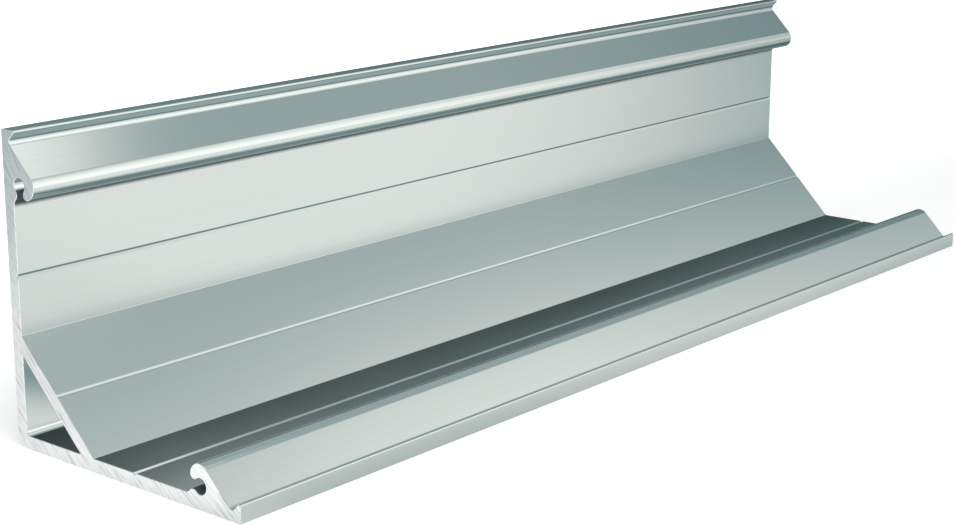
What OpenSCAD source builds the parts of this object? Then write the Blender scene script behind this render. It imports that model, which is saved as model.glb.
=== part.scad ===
// Corner extrusion profile: two equal legs at a right angle, a slanted plate that closes a
// hollow chamber in the corner, and a hooked end on each leg with a lip for a clip-in cover
// and a slotted channel for end-cap screws. One solid, lying along X, standing on one leg.

/* [Profile] */
// Width of each leg, from the outer corner to the leg's end
leg = 50; // [42:1:80]
// Length of the cut piece
length = 212; // [50:1:3000]
// Thickness of both legs
wall = 2.2; // [1.6:0.1:3]
// Radius of the outer corner
corner_r = 3; // [1:0.5:5]
// Radius of the small outer edges at the legs' ends
edge_r = 0.25; // [0.1:0.05:0.3]

/* [Slanted plate] */
// Distance from the legs' outer faces at which the plate's front face meets each leg
plate_reach = 18.2; // [12:0.1:24]
// Thickness of the plate
plate_t = 2.2; // [1.2:0.1:4]
// Radius in the square corner of the hollow chamber
chamber_r = 0.9; // [0.5:0.1:2]
// Radius in the roots where the plate meets the legs
root_r = 0.1; // [0.05:0.05:0.6]

/* [Score lines] */
// Width of the V-shaped score line on each leg
leg_score_w = 0.8; // [0.4:0.1:1.2]
// Width of the V-shaped score line on the plate
plate_score_w = 0.6; // [0.3:0.1:1.2]
// Slope of the score lines' sides, in degrees
score_slope = 36; // [20:1:50]
// Distance from the plate's front edge to the score line on each leg
score_gap = 9.3; // [2:0.1:11]

/* [Hooked end] */
// Rise of the end lip above the leg's inner face
lip_rise = 0.75; // [0.4:0.05:1.2]
// Width of the flat land on top of the lip
lip_land = 0.4; // [0.4:0.05:1]
// Radius of the lip's inner edge
lip_r = 0.3; // [0.1:0.05:0.5]
// Radius at the bottom of the notch behind the lip
notch_r = 0.8; // [0.2:0.05:1]
// Distance from the leg's end to the centre of the hook and its channel
hook_at = 8.3; // [7:0.1:9.5]
// Radius of the hook's round nose
nose_r = 2.05; // [1.9:0.05:3]

/* [Screw channel] */
// Bore of the channel, for a self-tapping end-cap screw
screw_d = 2.5; // [1.8:0.1:3.4]
// Rise of the channel's lowest line above the leg's inner face
channel_lift = 0.2; // [0:0.05:0.6]
// Metal over the channel
roof_t = 2.2; // [1.6:0.1:3]
// Angle above the channel's centre at which the nose tip ends its wall, in degrees
mouth_up = 52; // [40:1:58]
// Angle below the channel's centre at which the ridge ends its wall, in degrees
mouth_down = 48; // [40:1:50]
// Radius of the ridge under the channel's mouth
ridge_r = 1; // [0.4:0.05:1.2]
// Radius at the foot of the ridge
ridge_foot_r = 1.4; // [0.4:0.1:1.6]

/* [Hidden] */

$fn = 96;
diagonal = sqrt(2);
// Overrun of a cut past the ends of the piece
cut_over = 1;
// Depth by which an arc crosses a line or arc that it would else only touch, so that they meet
// in a clear edge
bite = 0.002;

// The section is drawn with x from the outer corner along the lower leg, and y up the other leg.
plate_front = plate_reach + wall;
plate_back = plate_front - plate_t * diagonal;

// Hook: the nose sits over the screw channel, and a 45 degree slope falls from it to the notch,
// which the lip's inner face meets at a right angle.
screw_r = screw_d / 2;
channel = [leg - hook_at, wall + channel_lift + screw_r];
nose = [channel.x, channel.y + screw_r + roof_t - nose_r];
slope_top = nose + nose_r / diagonal * [1, 1];
lip_h = wall + lip_rise;
lip_edge = [leg - lip_land, lip_h];
slope_sum = slope_top.x + slope_top.y;
lip_difference = lip_edge.x - lip_edge.y;
notch = [slope_sum + lip_difference, slope_sum - lip_difference] / 2;

// The nose tip is a disc that touches the channel's wall outside and the nose's arc inside.
nose_rise = nose.y - channel.y;
tip_r = (nose_r^2 - screw_r^2 - nose_rise^2 + 2 * nose_rise * screw_r * sin(mouth_up))
    / (2 * (nose_r + screw_r - nose_rise * sin(mouth_up)));
tip = channel + (screw_r + tip_r) * [-cos(mouth_up), sin(mouth_up)];
past_tip = nose + 2 * nose_r * (tip - nose) / norm(tip - nose);

// The ridge is a disc that touches the channel's wall outside, and a hollow arc rounds its foot.
ridge = channel - (screw_r + ridge_r) * [cos(mouth_down), sin(mouth_down)];
foot_y = wall + ridge_foot_r;
foot = [ridge.x - sqrt((ridge_r + ridge_foot_r)^2 - (foot_y - ridge.y)^2), foot_y];

// The sliver between a sharp corner and an arc of radius r that touches both of its edges,
// which leave the corner at angles a1 and a2: added to fill a root, or cut to round an edge.
// It reaches past the corner by r, so that it overlaps what it is joined to or cut from.
module corner_sliver(corner, a1, a2, r) {
    half = (a2 - a1) / 2;
    reach = r / tan(half);
    bisector = [cos(a1 + half), sin(a1 + half)];
    centre = corner + r / sin(half) * bisector;
    difference() {
        polygon([
            corner - r * bisector,
            corner + reach * [cos(a1), sin(a1)],
            centre,
            corner + reach * [cos(a2), sin(a2)],
        ]);
        translate(centre) circle(r + bite);
    }
}

// V-shaped cut that has a score line's width at the line y = 0
module score(width) {
    depth = width / 2 * tan(score_slope);
    polygon([[-width, depth], [0, -depth], [width, depth]]);
}

// Lip, notch and the solid wedge under the slope
module lip_and_wedge() {
    difference() {
        polygon([
            [leg, 0],
            [leg, lip_h],
            lip_edge,
            notch,
            slope_top,
            nose,
            channel,
            [channel.x, 0],
        ]);
        corner_sliver([leg, 0], 90, 180, edge_r);
        corner_sliver([leg, lip_h], 180, 270, edge_r);
        corner_sliver(lip_edge, 225, 360, lip_r);
    }
    corner_sliver(notch, 45, 135, notch_r);
}

// Round nose that hangs over the channel and ends in its tip
module nose_crescent() {
    difference() {
        translate(nose) circle(nose_r + bite);
        polygon([
            channel,
            tip,
            past_tip,
            [past_tip.x, nose.y - 2 * nose_r],
            [leg, nose.y - 2 * nose_r],
            [leg, channel.y],
        ]);
    }
    translate(tip) circle(tip_r + 2 * bite);
}

// Ridge on the leg under the nose tip, with a rounded foot
module ridge_bump() {
    polygon([[slope_top.x, wall / 2], channel, ridge, [ridge.x, wall / 2]]);
    translate(ridge) circle(ridge_r + bite);
    difference() {
        polygon([ridge, foot, [foot.x, wall / 2], [ridge.x, wall / 2]]);
        translate(foot) circle(ridge_foot_r + bite);
    }
}

// One leg with its hooked end, and the roots of the slanted plate
module leg_section() {
    difference() {
        union() {
            square([slope_top.x, wall]);
            lip_and_wedge();
            nose_crescent();
            ridge_bump();
            corner_sliver([plate_reach, wall], 0, 135, root_r);
            corner_sliver([plate_back - wall, wall], 135, 180, root_r);
        }
        translate(channel) circle(screw_r);
        translate([plate_reach + score_gap, wall]) score(leg_score_w);
    }
}

// Slanted plate from leg to leg, scored along its middle, and the chamber's rounded corner
module plate_section() {
    difference() {
        polygon([
            [plate_front - wall / 2, wall / 2],
            [wall / 2, plate_front - wall / 2],
            [wall / 2, plate_back - wall / 2],
            [plate_back - wall / 2, wall / 2],
        ]);
        translate([plate_front, plate_front] / 2) rotate(-45) score(plate_score_w);
    }
    corner_sliver([wall, wall], 0, 90, chamber_r);
}

// A section extruded along the whole piece, and past its ends by the given overrun
module bar(over = 0) {
    linear_extrude(height = length + 2 * over, center = true) children();
}

// Whole profile: the second leg is the first one turned over about the corner's bisector
module corner_profile() {
    color("#c8d0ce")
        translate([0, leg / 2, 0])
            rotate([90, 0, -90])
                difference() {
                    union() {
                        bar() leg_section();
                        rotate(180, [1, 1, 0]) bar() leg_section();
                        bar() plate_section();
                    }
                    bar(cut_over) corner_sliver([0, 0], 0, 90, corner_r);
                }
}

corner_profile();
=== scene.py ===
"""Corner extrusion profile: its anodised faces, its saw-cut ends and a plain studio to show it in.

Laid out as an add-on and run as a script. Units are metres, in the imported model's own frame:
X runs along the profile, Z is up, and the upright leg's outer face looks along +Y.
"""

import math

import bmesh
import bpy
from bpy.props import FloatProperty, FloatVectorProperty, PointerProperty
from bpy.types import Operator, Panel, PropertyGroup
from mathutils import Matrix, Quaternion, Vector
from mathutils.geometry import tessellate_polygon


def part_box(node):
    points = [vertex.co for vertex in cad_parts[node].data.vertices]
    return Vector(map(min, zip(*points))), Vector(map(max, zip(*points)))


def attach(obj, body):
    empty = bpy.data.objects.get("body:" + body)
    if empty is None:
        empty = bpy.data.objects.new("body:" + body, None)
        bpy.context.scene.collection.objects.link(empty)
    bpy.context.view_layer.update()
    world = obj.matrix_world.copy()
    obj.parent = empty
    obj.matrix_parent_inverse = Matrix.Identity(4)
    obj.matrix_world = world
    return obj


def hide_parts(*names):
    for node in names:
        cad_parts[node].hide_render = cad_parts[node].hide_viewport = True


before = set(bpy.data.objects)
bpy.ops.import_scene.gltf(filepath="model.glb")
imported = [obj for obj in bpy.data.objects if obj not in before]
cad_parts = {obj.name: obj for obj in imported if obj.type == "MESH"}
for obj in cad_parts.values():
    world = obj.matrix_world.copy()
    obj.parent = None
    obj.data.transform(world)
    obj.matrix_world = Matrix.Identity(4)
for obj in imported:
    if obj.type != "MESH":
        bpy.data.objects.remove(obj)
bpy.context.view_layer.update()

bl_info = {
    "name": "Corner Extrusion Profile",
    "version": (1, 0, 0),
    "blender": (4, 5, 0),
    "location": "View3D > Sidebar > Profile",
    "description": "Builds a hooked corner extrusion with anodised faces and saw-cut ends on a stage",
    "category": "Object",
}

CAD_NODE = "corner_profile"
CAD_BODY = "root"
FACE_SLOT, CUT_SLOT = range(2)

SAME_POINT = 1e-7
FLOOR_SIDES = 64
NEAR_CLIP = 0.01

# Noise levels between which a die line or a saw mark comes in, and the middle of a noise
LINE_SHOWS = (0.42, 0.75)
MARK_SHOWS = (0.50, 0.63)
NOISE_MIDDLE = 0.5

# Light levels between which the dark tone of the studio turns into the bright one
TONE_LEVELS = (0.05, 0.95)

# The dome's bands round the piece's length: degrees up from the front horizon, and share of the front level
DOME_BANDS = (
    (0, 0.97), (12, 0.97), (28, 0.90), (37, 0.84), (47, 0.75), (56, 0.73), (61, 0.73),
    (63.5, 0.67), (66, 0.50), (70, 0.385), (76, 0.345), (95, 0.35), (142, 0.35),
    (151, 0.47), (153.0, 0.47), (153.8, 0.02), (160, 0.02), (165, 0.21), (169, 0.19),
    (174, 0.04), (180, 0.04),
)


class DomeZones:
    """Where each zone of the dome begins and where it is full.

    A rise is in degrees up from the front horizon. A reach is a direction's X, which is 1 straight along
    the piece toward its far end.
    """

    brow_rise = (40, 60)
    brow_top = (71, 64)
    brow_reach = (0.70, 0.60)
    far_reach = (0.74, 0.90)
    low_rise = (58, 45)
    low_reach = (0.66, 0.84)
    back_rise = (120, 150)
    back_reach = (0.62, 0.74)
    overhead_rise = (70, 74)
    overhead_top = (105, 88)
    overhead_reach = (0.637, 0.582)
    open_reach = (0.50, 0.30)
    open_lean = 0.1
    far_open_reach = (0.92, 0.98)


class FloorZones:
    """Where each zone of the floor begins and where it is full, in metres along X or Y.

    A slant runs along X with its skew times Y added.
    """

    lifted_y = (0.0, 0.15)
    front_y = (-0.15, -0.5)
    front_skew = 1.2
    front_slant = (0.2, -0.1)
    near_half_x = (0.0, -0.06)
    past_end_x = (-0.106, -0.112)
    past_end_y = (0.03, 0.01)
    far_skew = 1.45
    far_slant = (-0.025, 0.23)
    far_x = (2.5, 1.2)
    far_y = (0.06, 0.0)
    rim_y = (-0.036, -0.027)
    rim_share = 0.3
    core_y = (-0.033, -0.003)
    under_skew = -0.6
    under_slant = (-0.107, -0.07)
    under_y = (0.07, 0.015)
    corner_x = (-0.106, -0.097)
    corner_y = (0.014, 0.019)
    close_back_y = (0.05, 0.2)
    far_back_y = (0.5, 1.0)


BOX_LOW, BOX_HIGH = (Vector(corner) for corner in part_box(CAD_NODE))
BOX_SIZE = BOX_HIGH - BOX_LOW


def length(name, description, default):
    """A property that holds a length in metres."""
    return FloatProperty(
        name=name, description=description, default=default, min=0.0, precision=5, unit="LENGTH"
    )


def angle(name, description, degrees):
    """A property that holds an angle, given here in degrees."""
    return FloatProperty(
        name=name, description=description, default=math.radians(degrees), subtype="ANGLE"
    )


def share(name, description, default):
    """A property that holds a number from 0 to 1."""
    return FloatProperty(
        name=name, description=description, default=default, min=0.0, max=1.0, subtype="FACTOR"
    )


def level(name, description, default):
    """A property that holds a light's level, where 1 lights a white surface to white."""
    return FloatProperty(name=name, description=description, default=default, min=0.0)


def colour(name, description, default):
    """A property that holds a linear colour."""
    return FloatVectorProperty(
        name=name, description=description, default=default, size=3, min=0.0, max=1.0, subtype="COLOR"
    )


def place(name, description, default):
    """A property that holds a point in metres."""
    return FloatVectorProperty(
        name=name, description=description, default=default, size=3, subtype="TRANSLATION"
    )


class ProfileSection(PropertyGroup):
    """Sizes of the section. Its x runs from the outer corner along a leg, and y up the other leg."""

    leg: length("Leg", "Width of each leg, from the outer corner to its end", BOX_SIZE.z)
    run: length("Length", "Length of the cut piece", BOX_SIZE.x)
    wall: length("Wall", "Thickness of both legs", 0.0022)
    corner_r: length("Outer corner", "Radius of the outer corner", 0.003)
    edge_r: length("Outer edges", "Radius of the small outer edges at the legs' ends", 0.00025)

    plate_reach: length("Plate reach", "Distance from the outer faces to the plate's front edges", 0.0182)
    plate_t: length("Plate", "Thickness of the slanted plate", 0.0022)
    chamber_r: length("Chamber corner", "Radius in the chamber's square corner", 0.0009)
    root_r: length("Roots", "Radius in the roots where the plate meets the legs", 0.0001)

    leg_score_w: length("Leg score", "Width of the V-shaped score line on each leg", 0.0008)
    plate_score_w: length("Plate score", "Width of the V-shaped score line on the plate", 0.0006)
    score_slope: angle("Score slope", "Slope of the score lines' sides", 36)
    score_gap: length("Score gap", "Distance from the plate's front edge to the leg's score line", 0.0093)

    lip_rise: length("Lip rise", "Rise of the end lip above the leg's inner face", 0.00075)
    lip_land: length("Lip land", "Width of the flat land on top of the lip", 0.0004)
    lip_r: length("Lip edge", "Radius of the lip's inner edge", 0.0003)
    notch_r: length("Notch", "Radius at the bottom of the notch behind the lip", 0.0008)
    hook_at: length("Hook place", "Distance from the leg's end to the centre of the hook", 0.0083)
    nose_r: length("Hook nose", "Radius of the hook's round nose", 0.00205)

    screw_r: length("Channel", "Radius of the screw channel", 0.00125)
    channel_lift: length("Channel lift", "Rise of the channel's lowest line above the inner face", 0.0002)
    roof_t: length("Channel roof", "Metal over the channel", 0.0022)
    mouth_up: angle("Mouth above", "Angle above the channel's centre where the nose tip ends its wall", 52)
    mouth_down: angle("Mouth below", "Angle below the channel's centre where the ridge ends its wall", 48)
    ridge_r: length("Ridge", "Radius of the ridge under the channel's mouth", 0.001)
    ridge_foot_r: length("Ridge foot", "Radius at the foot of the ridge", 0.0014)

    end_break: length("End break", "Width of the broken edge round each cut end", 0.00008)
    arc_step: angle("Arc step", "Longest step along an arc", 6)
    crease: angle("Crease", "Edges that turn by more than this stay sharp", 25)


class ProfileFinish(PropertyGroup):
    """Colours and fine relief of the anodised faces and of the saw-cut ends, and the painted shade in the
    hooks' mouths.
    """

    face_colour: colour("Anodised colour", "Colour of the anodised faces", (0.68, 0.73, 0.71))
    line_colour: colour("Die line colour", "Colour in the lines that the die draws", (0.668, 0.72, 0.703))
    face_roughness: share("Anodised roughness", "Roughness of the anodised faces", 0.11)
    line_pitch: length("Die line pitch", "Distance between die lines", 0.0004)
    line_run: length("Die line run", "Length over which a die line fades in or out", 0.12)
    line_depth: length("Die line depth", "Depth of the die lines", 0.0000001)
    line_change: share("Die line sheen", "How far the die lines change the roughness", 0.02)
    cloud_size: length("Cloud size", "Size of the soft clouds in the sheen", 0.04)
    cloud_change: share("Cloud sheen", "How far the soft clouds change the roughness", 0.04)

    # Painted shade: a dark colour in each hook's mouth, under its nose and in its channel, where shade
    # falls. The sizes below place it.
    mouth_shade_colour: colour("Mouth colour", "Colour in the dusty mouth under each hook", (0.05, 0.08, 0.085))
    mouth_ahead: length("Mouth place", "Distance from the channel to the darker zone", 0.00225)
    mouth_lift: length("Mouth lift", "Rise of the darker zone's middle above the channel's centre", 0.00045)
    mouth_r: length("Mouth radius", "Radius of the darker zone round each mouth", 0.00185)
    mouth_fade: length("Mouth fade", "Width over which the darker zones fade", 0.0005)
    nose_dark_r: length("Nose underside", "Radius of the darker zone under each nose", 0.0009)
    nose_fade: length("Nose fade", "Width over which the darker zone under each nose fades", 0.0008)
    blind_r: length("Blind side radius", "Radius of the darker zone in the channel's blind side", 0.0006)
    # The zones of painted shade are also made rougher by this share.
    shade_zone_roughness: share("Dust roughness", "How much rougher the darker zones are", 0.6)

    cut_colour: colour("Cut colour", "Colour of the freshly cut ends", (0.90, 0.93, 0.93))
    mark_colour: colour("Saw mark colour", "Colour in the deeper saw marks", (0.54, 0.59, 0.60))
    cut_roughness: share("Cut roughness", "Roughness of the cut ends", 0.3)
    saw_pitch: length("Saw mark pitch", "Distance between the saw's tooth marks", 0.00015)
    saw_run: length("Saw mark run", "Length over which a tooth mark fades in or out", 0.008)
    saw_depth: length("Saw mark depth", "Depth of the tooth marks", 0.000005)
    saw_change: share("Saw mark sheen", "How far the tooth marks change the roughness", 0.2)
    blade_r: length("Saw blade", "Radius of the saw blade, which bends its marks", 0.18)


class StudioStage(PropertyGroup):
    """The floor, the light and the camera."""

    floor_colour: colour("Floor", "Colour of the floor", (0.93, 0.93, 0.93))
    floor_r: length("Floor radius", "Radius of the round floor", 12.0)
    front_lift: level("Front lift", "Light that the floor adds for the camera", 0.35)
    back_lift: level("Back lift", "Light that the floor adds behind the object for the camera", 0.6)
    mirror_level: level("Mirrored floor", "Level of the floor in the object's reflections", 1.03)
    mirror_front: share("Mirrored front", "How far the mirrored floor rises in front of the near end", 0.3)
    mirror_half: share("Mirrored near half", "How far the mirrored floor falls along the near half", 0.1)
    mirror_end: share("Mirrored near end", "How far the mirrored floor rises just past the near end", 0.2)
    mirror_fall: share("Mirrored far side", "How far the mirrored floor falls toward the far side", 0.52)
    mirror_under: share("Mirrored underside", "How far the mirrored floor falls under the object", 0.68)
    mirror_close: share("Close back", "How far the mirrored floor falls close behind the object", 0.38)
    mirror_behind: share("Mirrored back", "How far the mirrored floor falls far behind the object", 0.7)

    bright: colour("Bright dome", "Colour of the dome where it is lit", (1.0, 1.0, 0.99))
    shade: colour("Dark dome", "Colour of the dome where it is dark", (0.62, 0.97, 1.0))
    open_level: level("Open side", "Level of the dome beside and behind the camera", 0.5)
    front_level: level("Front panel", "Level of the long soft panel in front", 1.42)
    brow_fall: share("Front panel's top", "How far the front panel's top falls toward the near end", 0.18)
    far_fall: share("Front panel's end", "How far the front panel falls toward the far end", 0.40)
    low_fall: share("Front panel's foot", "How far the front panel's foot falls toward the far end", 0.20)
    back_fall: share("Back of the dome", "How far the dome's back falls toward the far end", 0.22)
    patch_level: level("Overhead panel", "Level of the panel overhead", 1.2)

    key_at: place("Key lamp", "Place of the key lamp", (-0.25, -0.35, 0.35))
    key_size: length("Key size", "Side of the key lamp", 0.25)
    key_power: FloatProperty(name="Key power", description="The key lamp's power", default=1.0, unit="POWER")

    eye: place("Camera", "Place of the camera", (-0.28095, -0.2159, 0.1043))
    aim: place("Camera aim", "Point that the camera looks at", (0.0, 0.02166, 0.0092))
    roll: angle("Camera roll", "Roll of the camera", 0.135)
    lens: FloatProperty(name="Lens", description="Focal length", default=74.4, min=1.0, unit="CAMERA")


class Wire:
    """An output socket of a node tree. Arithmetic on wires adds Math nodes."""

    def __init__(self, tree, socket):
        self.tree = tree
        self.socket = socket

    @classmethod
    def add(cls, tree, kind, settings=None, sockets=None, output=0):
        """Add a node: its settings first, then the values or links of its sockets. Gives one output."""
        node = tree.nodes.new(kind)
        for name, value in (settings or {}).items():
            if name == "stops":
                set_stops(node.color_ramp, value)
            else:
                setattr(node, name, value)
        for name, value in (sockets or {}).items():
            if isinstance(value, Wire):
                tree.links.new(value.socket, node.inputs[name])
            else:
                node.inputs[name].default_value = value
        return cls(tree, node.outputs[output]) if node.outputs else None

    def math(self, operation, first, second=0.0):
        """A Math node on values or wires."""
        return Wire.add(self.tree, "ShaderNodeMath", {"operation": operation}, {0: first, 1: second})

    def __add__(self, other):
        return self.math("ADD", self, other)

    def __radd__(self, other):
        return self.math("ADD", other, self)

    def __sub__(self, other):
        return self.math("SUBTRACT", self, other)

    def __rsub__(self, other):
        return self.math("SUBTRACT", other, self)

    def __mul__(self, other):
        return self.math("MULTIPLY", self, other)

    def __rmul__(self, other):
        return self.math("MULTIPLY", other, self)

    def __truediv__(self, other):
        return self.math("DIVIDE", self, other)

    def __rtruediv__(self, other):
        return self.math("DIVIDE", other, self)

    def least(self, other):
        """The smaller of two values."""
        return self.math("MINIMUM", self, other)

    def most(self, other):
        """The greater of two values."""
        return self.math("MAXIMUM", self, other)

    def ease(self, start, end):
        """A smooth step from 0 at start to 1 at end."""
        settings = {"interpolation_type": "SMOOTHSTEP"}
        sockets = {"Value": self, "From Min": start, "From Max": end}
        return Wire.add(self.tree, "ShaderNodeMapRange", settings, sockets)

    def tint(self, first, second):
        """A colour that goes from the first at 0 to the second at 1."""
        settings = {"data_type": "RGBA"}
        return Wire.add(self.tree, "ShaderNodeMix", settings, {0: self, 6: first, 7: second}, output=2)

    def vector(self, operation, other=(0, 0, 0), output="Vector"):
        """A Vector Math node on this vector and another."""
        settings = {"operation": operation}
        return Wire.add(self.tree, "ShaderNodeVectorMath", settings, {0: self, 1: other}, output)

    def axis(self, name):
        """One axis of a vector."""
        return Wire.add(self.tree, "ShaderNodeSeparateXYZ", None, {0: self}, name)


def set_stops(ramp, stops):
    """Fill a colour ramp with (place, colour) stops."""
    while len(ramp.elements) < len(stops):
        ramp.elements.new(1.0)
    for element, (at, shade) in zip(ramp.elements, stops):
        element.position = at
        element.color = shade


def opaque(rgb):
    """A colour with its alpha."""
    return (*rgb, 1.0)


def polar(at_angle, radius=1.0):
    """A 2-D vector at an angle."""
    return Vector((radius * math.cos(at_angle), radius * math.sin(at_angle)))


def arc(centre, radius, start, end, step):
    """Points on an arc from one angle to another, both ends included."""
    count = max(1, math.ceil(abs(end - start) / step))
    return [centre + polar(start + (end - start) * i / count, radius) for i in range(count + 1)]


def rounded(corner, back, ahead, radius, step):
    """Points on the arc that rounds a corner, whose two edges leave it at the angles back and ahead."""
    turn = (ahead - back + math.pi) % math.tau - math.pi
    centre = corner + polar(back + turn / 2, radius / abs(math.sin(turn / 2)))
    start = back - math.copysign(math.pi / 2, turn)
    return arc(centre, radius, start, start + turn - math.copysign(math.pi, turn), step)


def mirrored(half):
    """A whole outline from the half of it that runs from the corner's bisector back to the bisector."""
    points = half + [point.yx for point in reversed(half)]
    before = points[-1:] + points[:-1]
    return [point for point, last in zip(points, before) if (point - last).length > SAME_POINT]


def hook_outline(sizes):
    """Points round the hooked end of the lower leg, from its outer end edge to the foot of the ridge."""
    step = sizes.arc_step
    lip_h = sizes.wall + sizes.lip_rise
    lip_edge = Vector((sizes.leg - sizes.lip_land, lip_h))
    channel = Vector((sizes.leg - sizes.hook_at, sizes.wall + sizes.channel_lift + sizes.screw_r))
    nose = channel + Vector((0, sizes.screw_r + sizes.roof_t - sizes.nose_r))
    slope_top = nose + polar(math.pi / 4, sizes.nose_r)
    fall = (slope_top.x + slope_top.y - lip_edge.x - lip_edge.y) / 2
    notch = lip_edge + Vector((fall, fall))

    nose_rise = nose.y - channel.y
    lean = nose_rise * math.sin(sizes.mouth_up)
    tip_r = (sizes.nose_r**2 - sizes.screw_r**2 - nose_rise**2 + 2 * sizes.screw_r * lean) / (
        2 * (sizes.nose_r + sizes.screw_r - lean)
    )
    tip = channel + polar(math.pi - sizes.mouth_up, sizes.screw_r + tip_r)
    tip_angle = math.atan2(tip.y - nose.y, tip.x - nose.x)

    ridge = channel + polar(math.pi + sizes.mouth_down, sizes.screw_r + sizes.ridge_r)
    foot_rise = sizes.wall + sizes.ridge_foot_r - ridge.y
    foot_angle = math.pi - math.asin(foot_rise / (sizes.ridge_r + sizes.ridge_foot_r))
    foot = ridge + polar(foot_angle, sizes.ridge_r + sizes.ridge_foot_r)

    return [
        *rounded(Vector((sizes.leg, 0)), math.pi, math.pi / 2, sizes.edge_r, step),
        *rounded(Vector((sizes.leg, lip_h)), -math.pi / 2, math.pi, sizes.edge_r, step),
        *rounded(lip_edge, 0, -0.75 * math.pi, sizes.lip_r, step),
        *rounded(notch, math.pi / 4, 0.75 * math.pi, sizes.notch_r, step),
        *arc(nose, sizes.nose_r, math.pi / 4, tip_angle, step),
        *arc(tip, tip_r, tip_angle, math.tau - sizes.mouth_up, step),
        *arc(channel, sizes.screw_r, math.pi - sizes.mouth_up, sizes.mouth_down - math.pi, step),
        *arc(ridge, sizes.ridge_r, sizes.mouth_down, foot_angle, step),
        *arc(foot, sizes.ridge_foot_r, foot_angle - math.pi, -math.pi / 2, step),
    ]


def section_outlines(sizes):
    """The section's outer outline and its chamber's, both with the metal on their left."""
    step = sizes.arc_step
    slant = polar(0.75 * math.pi)
    score_at = Vector((sizes.plate_reach + sizes.score_gap, sizes.wall))
    half_score = Vector((sizes.leg_score_w / 2, 0))
    leg_score_depth = sizes.leg_score_w / 2 * math.tan(sizes.score_slope)
    plate_score_depth = sizes.plate_score_w / 2 * math.tan(sizes.score_slope)
    plate_front = sizes.plate_reach + sizes.wall
    plate_middle = Vector((plate_front, plate_front)) / 2
    outer = [
        *arc(Vector((sizes.corner_r, sizes.corner_r)), sizes.corner_r, -0.75 * math.pi, -math.pi / 2, step),
        *hook_outline(sizes),
        score_at + half_score,
        score_at - Vector((0, leg_score_depth)),
        score_at - half_score,
        *rounded(Vector((sizes.plate_reach, sizes.wall)), 0, 0.75 * math.pi, sizes.root_r, step),
        plate_middle - slant * sizes.plate_score_w / 2,
        plate_middle - polar(math.pi / 4, plate_score_depth),
    ]
    inset = sizes.wall + sizes.chamber_r
    back_root = Vector((plate_front - sizes.plate_t * math.sqrt(2) - sizes.wall, sizes.wall))
    chamber = [
        *arc(Vector((inset, inset)), sizes.chamber_r, -0.75 * math.pi, -math.pi / 2, step),
        *rounded(back_root, math.pi, 0.75 * math.pi, sizes.root_r, step),
    ]
    return mirrored(outer), mirrored(chamber)[::-1]


def drawn_in(outline, distance):
    """An outline with each of its edges moved into the metal by a distance."""
    moved = []
    for i, point in enumerate(outline):
        into = (point - outline[i - 1]).normalized()
        out = (outline[(i + 1) % len(outline)] - point).normalized()
        left = Vector((-into.y - out.y, into.x + out.x))
        moved.append(point + left * distance / (1 + into.dot(out)))
    return moved


def standing(point, x):
    """A point of the section, at a place along the piece, in the model's frame."""
    return Vector((x, BOX_HIGH.y - point.x, BOX_LOW.z + point.y))


def build_profile_mesh(sizes):
    """The whole profile as a mesh, with its drawn faces and its cut ends in their material slots."""
    shape = bmesh.new()
    outlines = section_outlines(sizes)
    half = sizes.run / 2
    broken = half - sizes.end_break
    stations = [(-half, True), (-broken, False), (broken, False), (half, True)]
    rings = []
    for outline in outlines:
        inset = drawn_in(outline, sizes.end_break)
        rings.append([
            [shape.verts.new(standing(point, x)) for point in (inset if at_end else outline)]
            for x, at_end in stations
        ])
    for ring in rings:
        for span, (first, second) in enumerate(zip(ring, ring[1:])):
            for i in range(len(first)):
                face = shape.faces.new((first[i - 1], second[i - 1], second[i], first[i]))
                face.material_index = FACE_SLOT if span == 1 else CUT_SLOT
                face.smooth = True
    for end in (0, -1):
        loops = [ring[end] for ring in rings]
        corners = [vert for loop in loops for vert in loop]
        for triangle in tessellate_polygon([[vert.co.yz.to_3d() for vert in loop] for loop in loops]):
            face = shape.faces.new([corners[i] for i in triangle])
            face.material_index = CUT_SLOT
    bmesh.ops.recalc_face_normals(shape, faces=shape.faces)
    mesh = bpy.data.meshes.new("extruded_profile")
    shape.to_mesh(mesh)
    shape.free()
    mesh.set_sharp_from_angle(angle=sizes.crease)
    return mesh


def new_material(name):
    """An empty material, and its node tree."""
    material = bpy.data.materials.new(name)
    material.use_nodes = True
    material.node_tree.nodes.clear()
    return material, material.node_tree


def round_zone(first, second, radius, fade):
    """A mask that is 1 within a radius of the line where both wires are 0."""
    apart = first.math("SQRT", first * first + second * second)
    return apart.ease(radius + fade, radius)


def mouth_shade_mask(spot, sizes, finish):
    """A mask that is 1 where shade is painted: in the mouth of each hook, under its nose, in the blind side
    of each channel and all through the lower hook's channel.
    """
    inward = BOX_HIGH.y - spot.axis("Y")
    upward = spot.axis("Z") - BOX_LOW.z
    lift = inward.least(upward) - (sizes.wall + sizes.channel_lift + sizes.screw_r)
    along = inward.most(upward) - (sizes.leg - sizes.hook_at)
    nose_lift = sizes.screw_r + sizes.roof_t - sizes.nose_r
    fade = finish.mouth_fade
    mouth = round_zone(lift - finish.mouth_lift, along + finish.mouth_ahead, finish.mouth_r, fade)
    nose = round_zone(lift - nose_lift, along + sizes.nose_r, finish.nose_dark_r, finish.nose_fade)
    blind = round_zone(lift, along - sizes.screw_r, finish.blind_r, fade)
    lower = round_zone(lift, along, sizes.screw_r, fade) * (inward - upward).ease(0.0, sizes.wall)
    return mouth.most(nose).most(blind.most(lower))


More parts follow.
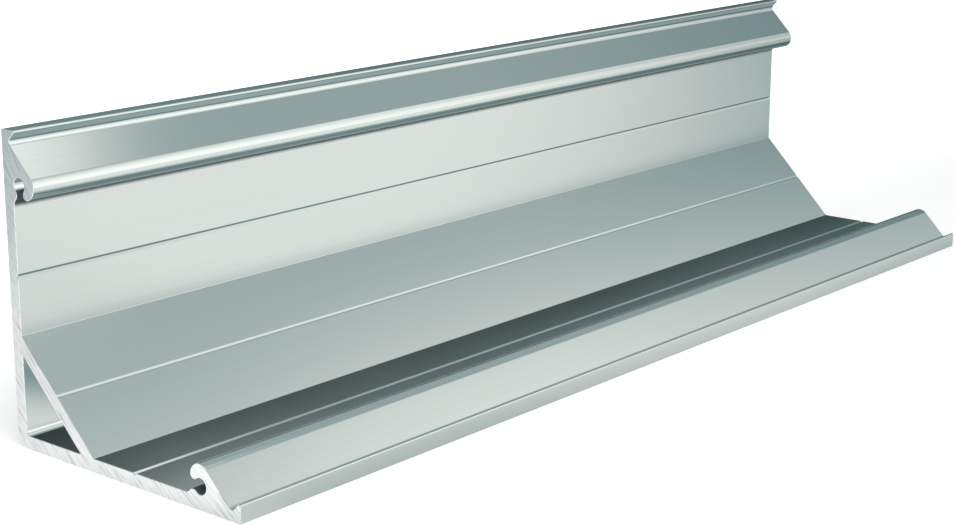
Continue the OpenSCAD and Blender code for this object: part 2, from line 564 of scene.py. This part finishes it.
def anodised_faces(sizes, finish):
    """Satin anodised aluminium with fine lines drawn along the piece by the die, and painted shade in the
    hooks' mouths.
    """
    material, tree = new_material("anodised_faces")
    spot = Wire.add(tree, "ShaderNodeTexCoord", output="Object")
    across = 1 / finish.line_pitch
    stretched = spot.vector("MULTIPLY", (1 / finish.line_run, across, across))
    drawn = {"Vector": stretched, "Scale": 1.0, "Detail": 3.0}
    lines = Wire.add(tree, "ShaderNodeTexNoise", None, drawn)
    soft = {"Vector": spot, "Scale": 1 / finish.cloud_size, "Detail": 2.0}
    cloud = Wire.add(tree, "ShaderNodeTexNoise", None, soft)
    worn = lines.ease(*LINE_SHOWS)
    relief = Wire.add(tree, "ShaderNodeBump", None, {"Height": lines, "Distance": finish.line_depth})
    metal = worn.tint(opaque(finish.face_colour), opaque(finish.line_colour))
    # Painted shade: the faces turn dark, non-metallic and rougher in the hooks' mouths, under their noses
    # and in the channels.
    mouth = mouth_shade_mask(spot, sizes, finish)
    clouded = finish.face_roughness + (cloud - NOISE_MIDDLE) * finish.cloud_change
    lined = clouded + (lines - NOISE_MIDDLE) * finish.line_change
    sockets = {
        "Base Color": mouth.tint(metal, opaque(finish.mouth_shade_colour)),
        "Metallic": 1 - mouth,
        "Roughness": lined + mouth * finish.shade_zone_roughness,
        "Normal": relief,
    }
    surface = Wire.add(tree, "ShaderNodeBsdfPrincipled", None, sockets)
    Wire.add(tree, "ShaderNodeOutputMaterial", None, {"Surface": surface})
    return material


def sawn_ends(finish):
    """Freshly cut aluminium with the curved tooth marks of a saw blade."""
    material, tree = new_material("sawn_ends")
    flat = Wire.add(tree, "ShaderNodeTexCoord", output="Object").vector("MULTIPLY", (0, 1, 1))
    middle = (BOX_LOW + BOX_HIGH) / 2
    reach = finish.blade_r / math.sqrt(2)
    blade_centre = (0, middle.y - reach, middle.z + reach)
    radius = flat.vector("SUBTRACT", blade_centre).vector("LENGTH", output="Value")
    along = flat.vector("DOT_PRODUCT", (0, 1, 1), output="Value")
    steps = {"X": radius / finish.saw_pitch, "Y": along / finish.saw_run}
    pair = Wire.add(tree, "ShaderNodeCombineXYZ", None, steps)
    teeth = {"Vector": pair, "Scale": 1.0, "Detail": 3.0, "Roughness": 0.6}
    marks = Wire.add(tree, "ShaderNodeTexNoise", None, teeth)
    deep = marks.ease(*MARK_SHOWS)
    relief = Wire.add(tree, "ShaderNodeBump", None, {"Height": 1 - marks, "Distance": finish.saw_depth})
    sockets = {
        "Base Color": deep.tint(opaque(finish.cut_colour), opaque(finish.mark_colour)),
        "Metallic": 1.0,
        "Roughness": finish.cut_roughness + (marks - NOISE_MIDDLE) * finish.saw_change,
        "Normal": relief,
    }
    surface = Wire.add(tree, "ShaderNodeBsdfPrincipled", None, sockets)
    Wire.add(tree, "ShaderNodeOutputMaterial", None, {"Surface": surface})
    return material


def floor_surface(stage):
    """Matt pale floor, lifted a little for the camera, that glows in the reflections with a painted image of
    its own, darker under the object as painted shade and darker behind it.
    """
    material, tree = new_material("studio_floor")
    seen = Wire.add(tree, "ShaderNodeLightPath", output="Is Camera Ray")
    mirrored_ray = Wire.add(tree, "ShaderNodeLightPath", output="Is Glossy Ray")
    passed_ray = Wire.add(tree, "ShaderNodeLightPath", output="Is Transmission Ray")
    spot = Wire.add(tree, "ShaderNodeTexCoord", output="Object")
    x = spot.axis("X")
    y = spot.axis("Y")
    zones = FloorZones

    lift = seen * (stage.front_lift + y.ease(*zones.lifted_y) * stage.back_lift)
    matt = Wire.add(tree, "ShaderNodeBsdfDiffuse", None, {"Color": opaque(stage.floor_colour)})
    glow = Wire.add(tree, "ShaderNodeEmission", None, {"Color": (1, 1, 1, 1), "Strength": lift})
    lit = Wire.add(tree, "ShaderNodeAddShader", None, {0: matt, 1: glow})

    front = y.ease(*zones.front_y) * (x + zones.front_skew * y).ease(*zones.front_slant)
    past_end = x.ease(*zones.past_end_x) * y.ease(*zones.past_end_y)
    ahead = 1 + stage.mirror_front * front - stage.mirror_half * x.ease(*zones.near_half_x)
    ahead = ahead + stage.mirror_end * past_end
    far_side = (x + zones.far_skew * y).ease(*zones.far_slant) * y.ease(*zones.far_y) * x.ease(*zones.far_x)
    far = 1 - stage.mirror_fall * far_side
    # Painted shade in the mirrored image: darker under the object, where its shadow would lie.
    shade = zones.rim_share * y.ease(*zones.rim_y) + (1 - zones.rim_share) * y.ease(*zones.core_y)
    corner = x.ease(*zones.corner_x) * y.ease(*zones.corner_y)
    inside = (x + zones.under_skew * y).ease(*zones.under_slant).most(corner)
    under = 1 - stage.mirror_under * shade * y.ease(*zones.under_y) * inside
    close_back = 1 - stage.mirror_close * y.ease(*zones.close_back_y)
    far_back = 1 - stage.mirror_behind * y.ease(*zones.far_back_y)
    amount = stage.mirror_level * ahead * far * under * close_back * far_back
    tone = amount.ease(*TONE_LEVELS).tint(opaque(stage.shade), opaque(stage.bright))
    image = Wire.add(tree, "ShaderNodeEmission", None, {"Color": tone, "Strength": amount})
    both = Wire.add(tree, "ShaderNodeMixShader", None, {0: mirrored_ray + passed_ray, 1: lit, 2: image})
    Wire.add(tree, "ShaderNodeOutputMaterial", None, {"Surface": both})
    return material


def build_dome(stage):
    """Soft light from all round: a long panel in front, a panel overhead and dimmer bands behind."""
    world = bpy.data.worlds.new("studio_dome")
    world.use_nodes = True
    tree = world.node_tree
    tree.nodes.clear()
    toward = Wire.add(tree, "ShaderNodeTexCoord", output="Generated")
    x = toward.axis("X")
    y = toward.axis("Y")
    z = toward.axis("Z")
    rise = z.math("ARCTAN2", z, 0 - y)
    zones = DomeZones

    def risen(zone):
        """A smooth step over a zone of rises."""
        return rise.ease(*map(math.radians, zone))

    stops = [(degrees / 180, (part, part, part, 1)) for degrees, part in DOME_BANDS]
    bands = Wire.add(tree, "ShaderNodeValToRGB", {"stops": stops}, {0: rise / math.pi})
    back = risen(zones.back_rise)
    falls = (
        (stage.brow_fall, risen(zones.brow_rise) * risen(zones.brow_top) * x.ease(*zones.brow_reach)),
        (stage.far_fall, x.ease(*zones.far_reach)),
        (stage.low_fall, risen(zones.low_rise) * x.ease(*zones.low_reach)),
        (stage.back_fall, back * x.ease(*zones.back_reach)),
    )
    strip = bands * stage.front_level
    for fall, zone in falls:
        strip = strip * (1 - fall * zone)
    overhead = risen(zones.overhead_rise) * risen(zones.overhead_top) * x.ease(*zones.overhead_reach)
    panel = strip + overhead * (stage.patch_level - strip)
    beside = (x + zones.open_lean * back).ease(*zones.open_reach) + x.ease(*zones.far_open_reach)
    amount = panel + beside * (stage.open_level - panel)
    tone = beside.most(panel.ease(*TONE_LEVELS)).tint(opaque(stage.shade), opaque(stage.bright))
    light = Wire.add(tree, "ShaderNodeBackground", None, {"Color": tone, "Strength": amount})
    Wire.add(tree, "ShaderNodeOutputWorld", None, {"Surface": light})
    return world


def facing(start, end, roll=0.0):
    """The turn of a camera or lamp that looks from one point at another."""
    turn = (Vector(end) - Vector(start)).to_track_quat("-Z", "Y")
    return turn @ Quaternion((0, 0, 1), roll)


def put(name, data):
    """A new object in the scene."""
    item = bpy.data.objects.new(name, data)
    bpy.context.scene.collection.objects.link(item)
    return item


class PROFILE_OT_build(Operator):
    """Build the extruded profile with its anodised faces and saw-cut ends"""

    bl_idname = "profile.build"
    bl_label = "Build Profile"

    def execute(self, context):
        scene = context.scene
        piece = put("extruded_profile", build_profile_mesh(scene.profile_section))
        piece.data.materials.append(anodised_faces(scene.profile_section, scene.profile_finish))
        piece.data.materials.append(sawn_ends(scene.profile_finish))
        normals = piece.modifiers.new("flat_faces_lead", "WEIGHTED_NORMAL")
        normals.keep_sharp = True
        # Its faces mirror the studio alone, and not each other
        piece.visible_glossy = False
        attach(piece, CAD_BODY)
        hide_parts(CAD_NODE)
        return {"FINISHED"}


class PROFILE_OT_stage(Operator):
    """Set up the floor, the light and the camera"""

    bl_idname = "profile.stage"
    bl_label = "Set Up Stage"

    def execute(self, context):
        scene = context.scene
        stage = scene.profile_stage
        scene.view_settings.view_transform = "Standard"
        scene.world = build_dome(stage)

        disc = bmesh.new()
        bmesh.ops.create_circle(disc, cap_ends=True, segments=FLOOR_SIDES, radius=stage.floor_r)
        mesh = bpy.data.meshes.new("studio_floor")
        disc.to_mesh(mesh)
        disc.free()
        mesh.materials.append(floor_surface(stage))
        floor = put("studio_floor", mesh)
        floor.location.z = BOX_LOW.z

        lamp = bpy.data.lights.new("key_lamp", "AREA")
        lamp.size = stage.key_size
        lamp.energy = stage.key_power
        key = put("key_lamp", lamp)
        key.visible_camera = False
        key.location = stage.key_at
        key.rotation_mode = "QUATERNION"
        key.rotation_quaternion = facing(stage.key_at, (0, 0, 0))

        camera = put("camera", bpy.data.cameras.new("camera"))
        camera.data.lens = stage.lens
        camera.data.clip_start = NEAR_CLIP
        camera.location = stage.eye
        camera.rotation_mode = "QUATERNION"
        camera.rotation_quaternion = facing(stage.eye, stage.aim, stage.roll)
        scene.camera = camera
        return {"FINISHED"}


class PROFILE_PT_panel(Panel):
    """The profile's sizes, finish and stage"""

    bl_idname = "PROFILE_PT_panel"
    bl_label = "Corner Profile"
    bl_space_type = "VIEW_3D"
    bl_region_type = "UI"
    bl_category = "Profile"

    def draw(self, context):
        scene = context.scene
        steps = (
            (scene.profile_section, None),
            (scene.profile_finish, PROFILE_OT_build),
            (scene.profile_stage, PROFILE_OT_stage),
        )
        for group, step in steps:
            column = self.layout.column(align=True)
            for name in group.__annotations__:
                column.prop(group, name)
            if step:
                self.layout.operator(step.bl_idname)


GROUPS = {
    "profile_section": ProfileSection,
    "profile_finish": ProfileFinish,
    "profile_stage": StudioStage,
}
CLASSES = (*GROUPS.values(), PROFILE_OT_build, PROFILE_OT_stage, PROFILE_PT_panel)


def register():
    for item in CLASSES:
        bpy.utils.register_class(item)
    for name, group in GROUPS.items():
        setattr(bpy.types.Scene, name, PointerProperty(type=group))


def unregister():
    for name in GROUPS:
        delattr(bpy.types.Scene, name)
    for item in reversed(CLASSES):
        bpy.utils.unregister_class(item)


def main():
    register()
    bpy.ops.profile.build()
    bpy.ops.profile.stage()


if __name__ == "__main__":
    main()
